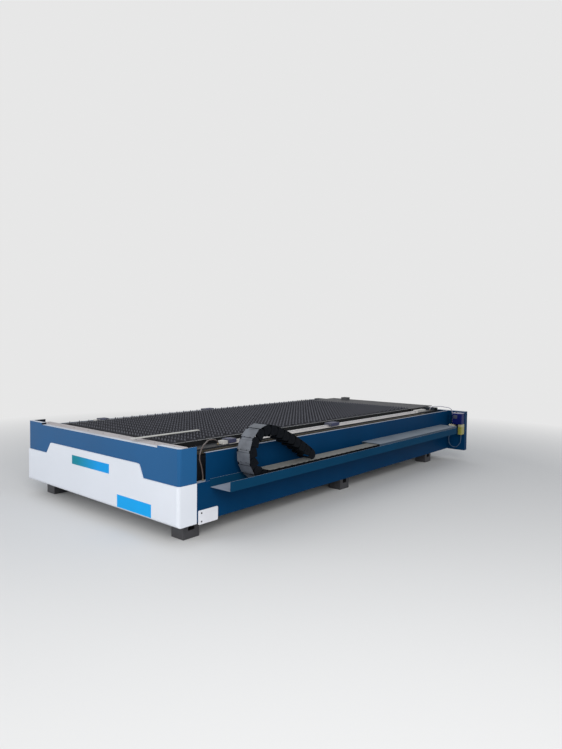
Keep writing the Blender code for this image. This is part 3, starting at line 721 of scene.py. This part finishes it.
def chain():
    """The links of the loop, each as its joint holds it, and those of the run, from the first one's mesh."""
    joints = [j for j in frame["joints"] if j["name"].startswith("chain_bend_")]
    joints.sort(key=lambda j: j["name"])
    angle = math.pi
    moves = []
    for joint in joints:
        angle += math.radians(joint["range_deg"][0])
        moves.append(Matrix.Translation(Vector(joint["pos_m"])) @ Matrix.Rotation(angle, 4, "X"))
    for i, move in enumerate(moves):
        dress(f"drag_chain_link_{i + 1:02d}", CHAIN_PAINTED_SHADE, 0.0008)
        link_trim(f"link_trim_{i + 1:02d}", move, f"chain_link_{i + 1:02d}")
    source = frame["nodes"]["drag_chain_link_01"].data
    back = moves[0].inverted()
    local = [back @ v.co for v in source.vertices]
    faces = [tuple(p.vertices) for p in source.polygons]
    first = Vector(joints[0]["pos_m"])
    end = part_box("drag_chain_lower_run")[1].y
    run = Parts()
    for k in range(1, int((end - first.y) / PITCH) + 1):
        move = Matrix.Translation(first + Vector((0, k * PITCH, 0))) @ Matrix.Rotation(math.pi, 4, "X")
        run.add(local, faces, move)
        link_trim(f"run_trim_{k:02d}", move, "bed")
        run_cover(f"run_cover_{k:02d}", move)
    run.make("chain_run_links", CHAIN_PAINTED_SHADE, replaces="drag_chain_lower_run")


def arc_angles(start, end, steps):
    return [math.radians(start + (end - start) * i / steps) for i in range(steps + 1)]


def link_trim(name, move, body):
    """Side plates with their pins, and the snap-on lid with its edge rails, its tabs and the tongue's skin.
    The lid stands proud by less than the 0.3 mm that lie between a straight chain and the tray's floor."""
    sides = Parts()
    near = EAR_R + 0.0035
    ear = EAR_R - 0.0015
    outline = [(PITCH + ear * math.cos(t), ear * math.sin(t)) for t in arc_angles(-90, 90, 8)]
    outline += [(near, ear), (near, -ear)]
    for sign, axis in ((-1, "-x"), (1, "x")):
        a, b = sorted((sign * (HALF_W - PROUD), sign * (HALF_W + SIDE_SKIN)))
        sides.prism(outline, "x", a, b, move)
        sides.rod((sign * (HALF_W + 0.0010), PITCH, 0), axis, PIN_R, 0.002, sides=16, dish=0.0010, move=move)
    sides.make(name + "_sides", CHAIN_PAINTED_SHADE, body)
    lid = Parts()
    skin = [(TONGUE_R * math.cos(a), TONGUE_R * math.sin(a)) for a in arc_angles(88, 128, 5)]
    skin += [(u * TONGUE_SKIN, v * TONGUE_SKIN) for u, v in reversed(skin)]
    lid.prism(skin, "x", -TONGUE_HALF_W, TONGUE_HALF_W, move)
    height = (LID - LID_SKIN, LID + PROUD)
    half = HALF_W - 2 * LID_RAIL_GAP - LID_RAIL_W
    lid.box(-half, half, TAB_Y[1] + TAB_SLIT, PITCH - LID_GAP, *height, move)
    left_tab, right_tab = TAB_X
    for x0, x1 in ((-half, left_tab), (left_tab + TAB_W, right_tab), (right_tab + TAB_W, half)):
        lid.box(x0, x1, LID_GAP, TAB_Y[1], *height, move)
    for x in TAB_X:
        lid.box(x + TAB_SLIT, x + TAB_W - TAB_SLIT, *TAB_Y, *height, move)
    for x in (LID_RAIL_GAP - HALF_W, HALF_W - LID_RAIL_GAP - LID_RAIL_W):
        lid.box(x, x + LID_RAIL_W, 0.0030, PITCH - 0.0030, *height, move)
    # The lids are pale: painted top light on black plastic.
    lid.make(name + "_lid", CHAIN_LID_TOP_LIGHT, body)


def run_cover(name, move):
    """The inner side of a link, which lies on top in the tray: a pale, dusty face with painted top light."""
    cover = Parts()
    cover.box(0.004 - HALF_W, HALF_W - 0.004, 0.0010, PITCH - 0.0010, -LID - 0.0010, 0.0030 - LID, move)
    cover.make(name, CHAIN_DUSTY_TOP_LIGHT, bevel=0.0008)


# Hoses, along the routes of the CAD tubes


def hose(name, node, knots, diameter, material):
    """A smooth hose in place of the CAD tube, with a ferrule at each end."""
    curve = bpy.data.curves.new(name, "CURVE")
    curve.dimensions = "3D"
    curve.bevel_depth = diameter / 2
    curve.bevel_resolution = 4
    curve.resolution_u = 10
    curve.use_fill_caps = True
    line = curve.splines.new("BEZIER")
    knots = [Vector(knot) for knot in knots]
    head = (knots[1] - knots[0]).normalized()
    tail = (knots[-2] - knots[-1]).normalized()
    route = [knots[0], knots[0] + head * diameter, *knots[1:-1], knots[-1] + tail * diameter, knots[-1]]
    line.bezier_points.add(len(route) - 1)
    for point, place in zip(line.bezier_points, route):
        point.co = place + SHIFT
        point.handle_left_type = "AUTO"
        point.handle_right_type = "AUTO"
    obj = bpy.data.objects.new(name, curve)
    bpy.context.scene.collection.objects.link(obj)
    obj.data.materials.append(material)
    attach(obj, "bed")
    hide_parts(node)
    ends = Parts()
    for knot, way in ((knots[0], head), (knots[-1], tail)):
        axis = "z" if way.z > 0 else "-z"
        ends.rod(knot, axis, diameter * 0.72, 0.012, sides=16, move=MOVE)
    ends.make(name + "_ferrules", BRASS, smooth=True)


def hoses():
    supply = [
        (0.045, 4.362, 0.2547),
        (0.045, 4.362, 0.225),
        (0.022, 4.356, 0.130),
        (0.052, 4.350, 0.056),
        (0.110, 4.350, 0.040),
        (0.166, 4.350, 0.085),
        (0.182, 4.350, 0.150),
        (0.182, 4.350, 0.2077),
    ]
    hose("supply_hose", "oil_hose_supply", supply, 0.010, RUBBER)
    riser = [
        (0.067, 4.352, 0.3253),
        (0.067, 4.352, 0.380),
        (0.066, 4.350, 0.460),
        (0.050, 4.340, 0.515),
        (-0.020, 4.300, 0.540),
        (-0.100, 4.245, 0.546),
        (-0.158, 4.206, 0.532),
        (-0.170, 4.198, BEAM_TOP + 0.014),
        (-0.170, 4.198, BEAM_TOP + 0.0003),
    ]
    hose("riser_tube", "oil_hose_riser", riser, 0.009, NYLON)
    front = [
        (-0.190, 0.540, BEAM_TOP + 0.0003),
        (-0.190, 0.540, BEAM_TOP + 0.014),
        (-0.186, 0.512, 0.530),
        (-0.160, 0.430, 0.545),
        (-0.100, 0.330, 0.538),
        (-0.056, 0.262, 0.520),
        (-0.048, 0.236, 0.486),
        (-0.046, 0.228, 0.444),
        (-0.042, 0.240, 0.398),
        (-0.038, 0.252, 0.330),
        (-0.038, 0.254, 0.2873),
    ]
    hose("front_grease_hose", "grease_hose_front", front, 0.011, GREASE)


# Small trim


def badges():
    """The two printed fields on the lower front cover, left plain."""
    strip = Parts()
    x0, x1, z0, z1 = STRIP
    strip.box(x0, x1, -0.0006, PROUD, z0, z1, MOVE)
    turn = [SHIFT.x + x for x in STRIP_TURN]
    fade = fade_of("strip_fade", (0.004, 0.215, 0.290), (0.002, 0.290, 0.700), *turn)
    strip.make("plain_strip", fade)
    badge = Parts()
    x0, x1, z0, z1 = BADGE
    badge.box(x0, x1, -0.0006, PROUD, z0, z1, MOVE)
    badge.make("plain_badge", BRIGHT)


def bolt_heads(name, places, axis, radius, height, material):
    """Round heads with a socket half as deep as the head is high."""
    heads = Parts()
    for place in places:
        heads.rod(place, axis, radius, height, dish=height / 2, move=MOVE)
    heads.make(name, material)


def screws():
    bracket = [(0.0060, 0.205, z) for z in (0.010, 0.070)]
    front = [(-2.02 + i * 0.23, 0.110, PLATE_TOP - PROUD) for i in range(9)]
    rear = [(-1.80 + i * 0.24, y, PLATE_TOP - PROUD) for i in range(7) for y in (3.96, 4.31)]
    back = [(-2.12 + i * 0.365, LENGTH - 0.0005, z) for i in range(7) for z in (0.040, 0.450)]
    left = [(-COVER_W, 0.30 + i * 0.57, z) for i in range(8) for z in (0.040, 0.455)]
    bolt_heads("bracket_bolts", bracket, "x", 0.006, 0.004, BLACK_SCREW)
    bolt_heads("front_plate_bolts", front, "z", 0.007, 0.0008, BLACK_SCREW)
    bolt_heads("rear_plate_bolts", rear, "z", 0.007, 0.0008, BLACK_SCREW)
    bolt_heads("rear_cover_bolts", back, "y", 0.006, 0.003, SCREW)
    bolt_heads("left_panel_bolts", left, "-x", 0.006, 0.003, SCREW)


def lubricator_trim():
    lid = Parts()
    lid.box(0.087, 0.202, WALL_Y - 0.097, WALL_Y - 0.003, 0.4698, 0.4760, MOVE)
    lid.make("pump_lid", NYLON, bevel=0.001)
    window = Parts()
    window.box(0.100, 0.150, WALL_Y - 0.1030, WALL_Y - 0.0995, 0.405, 0.450, MOVE)
    window.make("pump_display", SEAL, bevel=0.0008)
    cap = Parts()
    cap.rod((0.120, WALL_Y - 0.055, 0.4758), "z", 0.012, 0.010, sides=16, move=MOVE)
    cap.make("pump_filler_cap", BLACK_SCREW, smooth=True)
    ribs = Parts()
    for z in (0.232, 0.262, 0.292):
        ribs.box(0.160, 0.204, WALL_Y - 0.0962, WALL_Y - 0.0948, z, z + 0.003, MOVE)
    ribs.make("reservoir_level_lines", OIL)
    taps = Parts()
    for x in (0.048, 0.067, 0.086):
        taps.rod((x, WALL_Y - 0.0645, 0.290), "-y", 0.006, 0.010, sides=10, move=MOVE)
    taps.rod((0.0995, WALL_Y - 0.035, 0.268), "x", 0.006, 0.012, sides=10, move=MOVE)
    taps.make("manifold_fittings", BRASS)


# Setting


def pale_for_the_eye(tree):
    """One for the rays that show the background: what the camera, gloss and glass see."""
    path = tree.nodes.new("ShaderNodeLightPath")
    result = path.outputs["Is Camera Ray"]
    for other in ("Is Glossy Ray", "Is Transmission Ray"):
        node = tree.nodes.new("ShaderNodeMath")
        node.operation = "MAXIMUM"
        tree.links.new(result, node.inputs[0])
        tree.links.new(path.outputs[other], node.inputs[1])
        result = node.outputs["Value"]
    return result


def floor():
    """A pale floor that keeps the shadow near the machine and runs into the background further out."""
    bpy.ops.mesh.primitive_plane_add(size=FLOOR_SIZE, location=(0, 0, 0))
    obj = bpy.context.object
    obj.name = "floor"
    material, tree, shader = tree_of("floor_surface")
    shader.inputs["Base Color"].default_value = (*FLOOR, 1)
    shader.inputs["Roughness"].default_value = 0.9
    shader.inputs["Specular IOR Level"].default_value = 0.1
    place = tree.nodes.new("ShaderNodeTexCoord")
    reach = tree.nodes.new("ShaderNodeVectorMath")
    reach.operation = "LENGTH"
    tree.links.new(place.outputs["Object"], reach.inputs[0])
    away = ranged(tree, reach.outputs["Value"], *FLOOR_FADE, 0.0, 1.0)
    glow = tree.nodes.new("ShaderNodeEmission")
    glow.inputs["Color"].default_value = (*BACKGROUND, 1)
    mix = tree.nodes.new("ShaderNodeMixShader")
    tree.links.new(product(tree, away, pale_for_the_eye(tree)), mix.inputs["Fac"])
    tree.links.new(shader.outputs["BSDF"], mix.inputs[1])
    tree.links.new(glow.outputs["Emission"], mix.inputs[2])
    tree.links.new(mix.outputs["Shader"], tree.nodes["Material Output"].inputs["Surface"])
    obj.data.materials.append(material)


def world():
    sky = bpy.data.worlds.new("studio")
    bpy.context.scene.world = sky
    sky.use_nodes = True
    tree = sky.node_tree
    tree.nodes.clear()
    out = tree.nodes.new("ShaderNodeOutputWorld")
    light = tree.nodes.new("ShaderNodeBackground")
    light.inputs["Color"].default_value = (*SKY_COLOUR, 1)
    light.inputs["Strength"].default_value = SKY_STRENGTH
    seen = tree.nodes.new("ShaderNodeBackground")
    seen.inputs["Color"].default_value = (*BACKGROUND, 1)
    mix = tree.nodes.new("ShaderNodeMixShader")
    tree.links.new(pale_for_the_eye(tree), mix.inputs["Fac"])
    tree.links.new(light.outputs["Background"], mix.inputs[1])
    tree.links.new(seen.outputs["Background"], mix.inputs[2])
    tree.links.new(mix.outputs["Shader"], out.inputs["Surface"])


def soft_box(name, place, target, width, height, radiance, colour):
    """A rectangular lamp whose brightness is given as it is seen, where 1 is white."""
    data = bpy.data.lights.new(name, "AREA")
    data.shape = "RECTANGLE"
    data.size = width
    data.size_y = height
    data.energy = radiance * math.pi * width * height
    data.color = colour
    obj = bpy.data.objects.new(name, data)
    bpy.context.scene.collection.objects.link(obj)
    obj.location = place
    obj.rotation_euler = (Vector(target) - Vector(place)).to_track_quat("-Z", "Y").to_euler()


def lights():
    """A cool lamp before the front cover and a warmer, stronger one before the right front corner."""
    soft_box(
        "front_light",
        place=(-5.2, -9.0, 2.4),
        target=(0.0, -2.2, 0.4),
        width=7.0,
        height=3.6,
        radiance=2.7,
        colour=(0.97, 0.985, 1.0),
    )
    soft_box(
        "side_light",
        place=(6.0, -5.9, 3.9),
        target=(1.0, -1.6, 0.3),
        width=5.0,
        height=4.2,
        radiance=6.3,
        colour=(1.0, 0.99, 0.97),
    )


def camera():
    """The photograph's camera. Yaw turns it left of +Y, pitch tips it down and roll turns the picture."""
    yaw, pitch, roll = (math.radians(a) for a in (CAMERA_YAW, CAMERA_PITCH, CAMERA_ROLL))
    ahead = Vector((-math.sin(yaw) * math.cos(pitch), math.cos(yaw) * math.cos(pitch), -math.sin(pitch)))
    right = Vector((math.cos(yaw), math.sin(yaw), 0.0))
    down = -right.cross(ahead)
    turned_right = math.cos(roll) * right + math.sin(roll) * down
    turned_down = -math.sin(roll) * right + math.cos(roll) * down
    data = bpy.data.cameras.new("camera")
    data.sensor_width = SENSOR_W
    data.lens = FOCAL_PX * SENSOR_W / PHOTO_HEIGHT_PX
    data.clip_end = 300.0
    obj = bpy.data.objects.new("camera", data)
    bpy.context.scene.collection.objects.link(obj)
    turn = Matrix((turned_right, -turned_down, -ahead)).transposed().to_4x4()
    obj.matrix_world = Matrix.Translation(Vector(CAMERA_PLACE) + SHIFT) @ turn
    bpy.context.scene.camera = obj


dress_frame()
slat_sections()
for machine_side in ("right", "left"):
    rail_seat(machine_side)
    guide_rail(machine_side)
    toothed_rack(machine_side)
carriages()
chain()
hoses()
badges()
screws()
lubricator_trim()
floor()
world()
lights()
camera()
bpy.context.scene.view_settings.view_transform = "Standard"
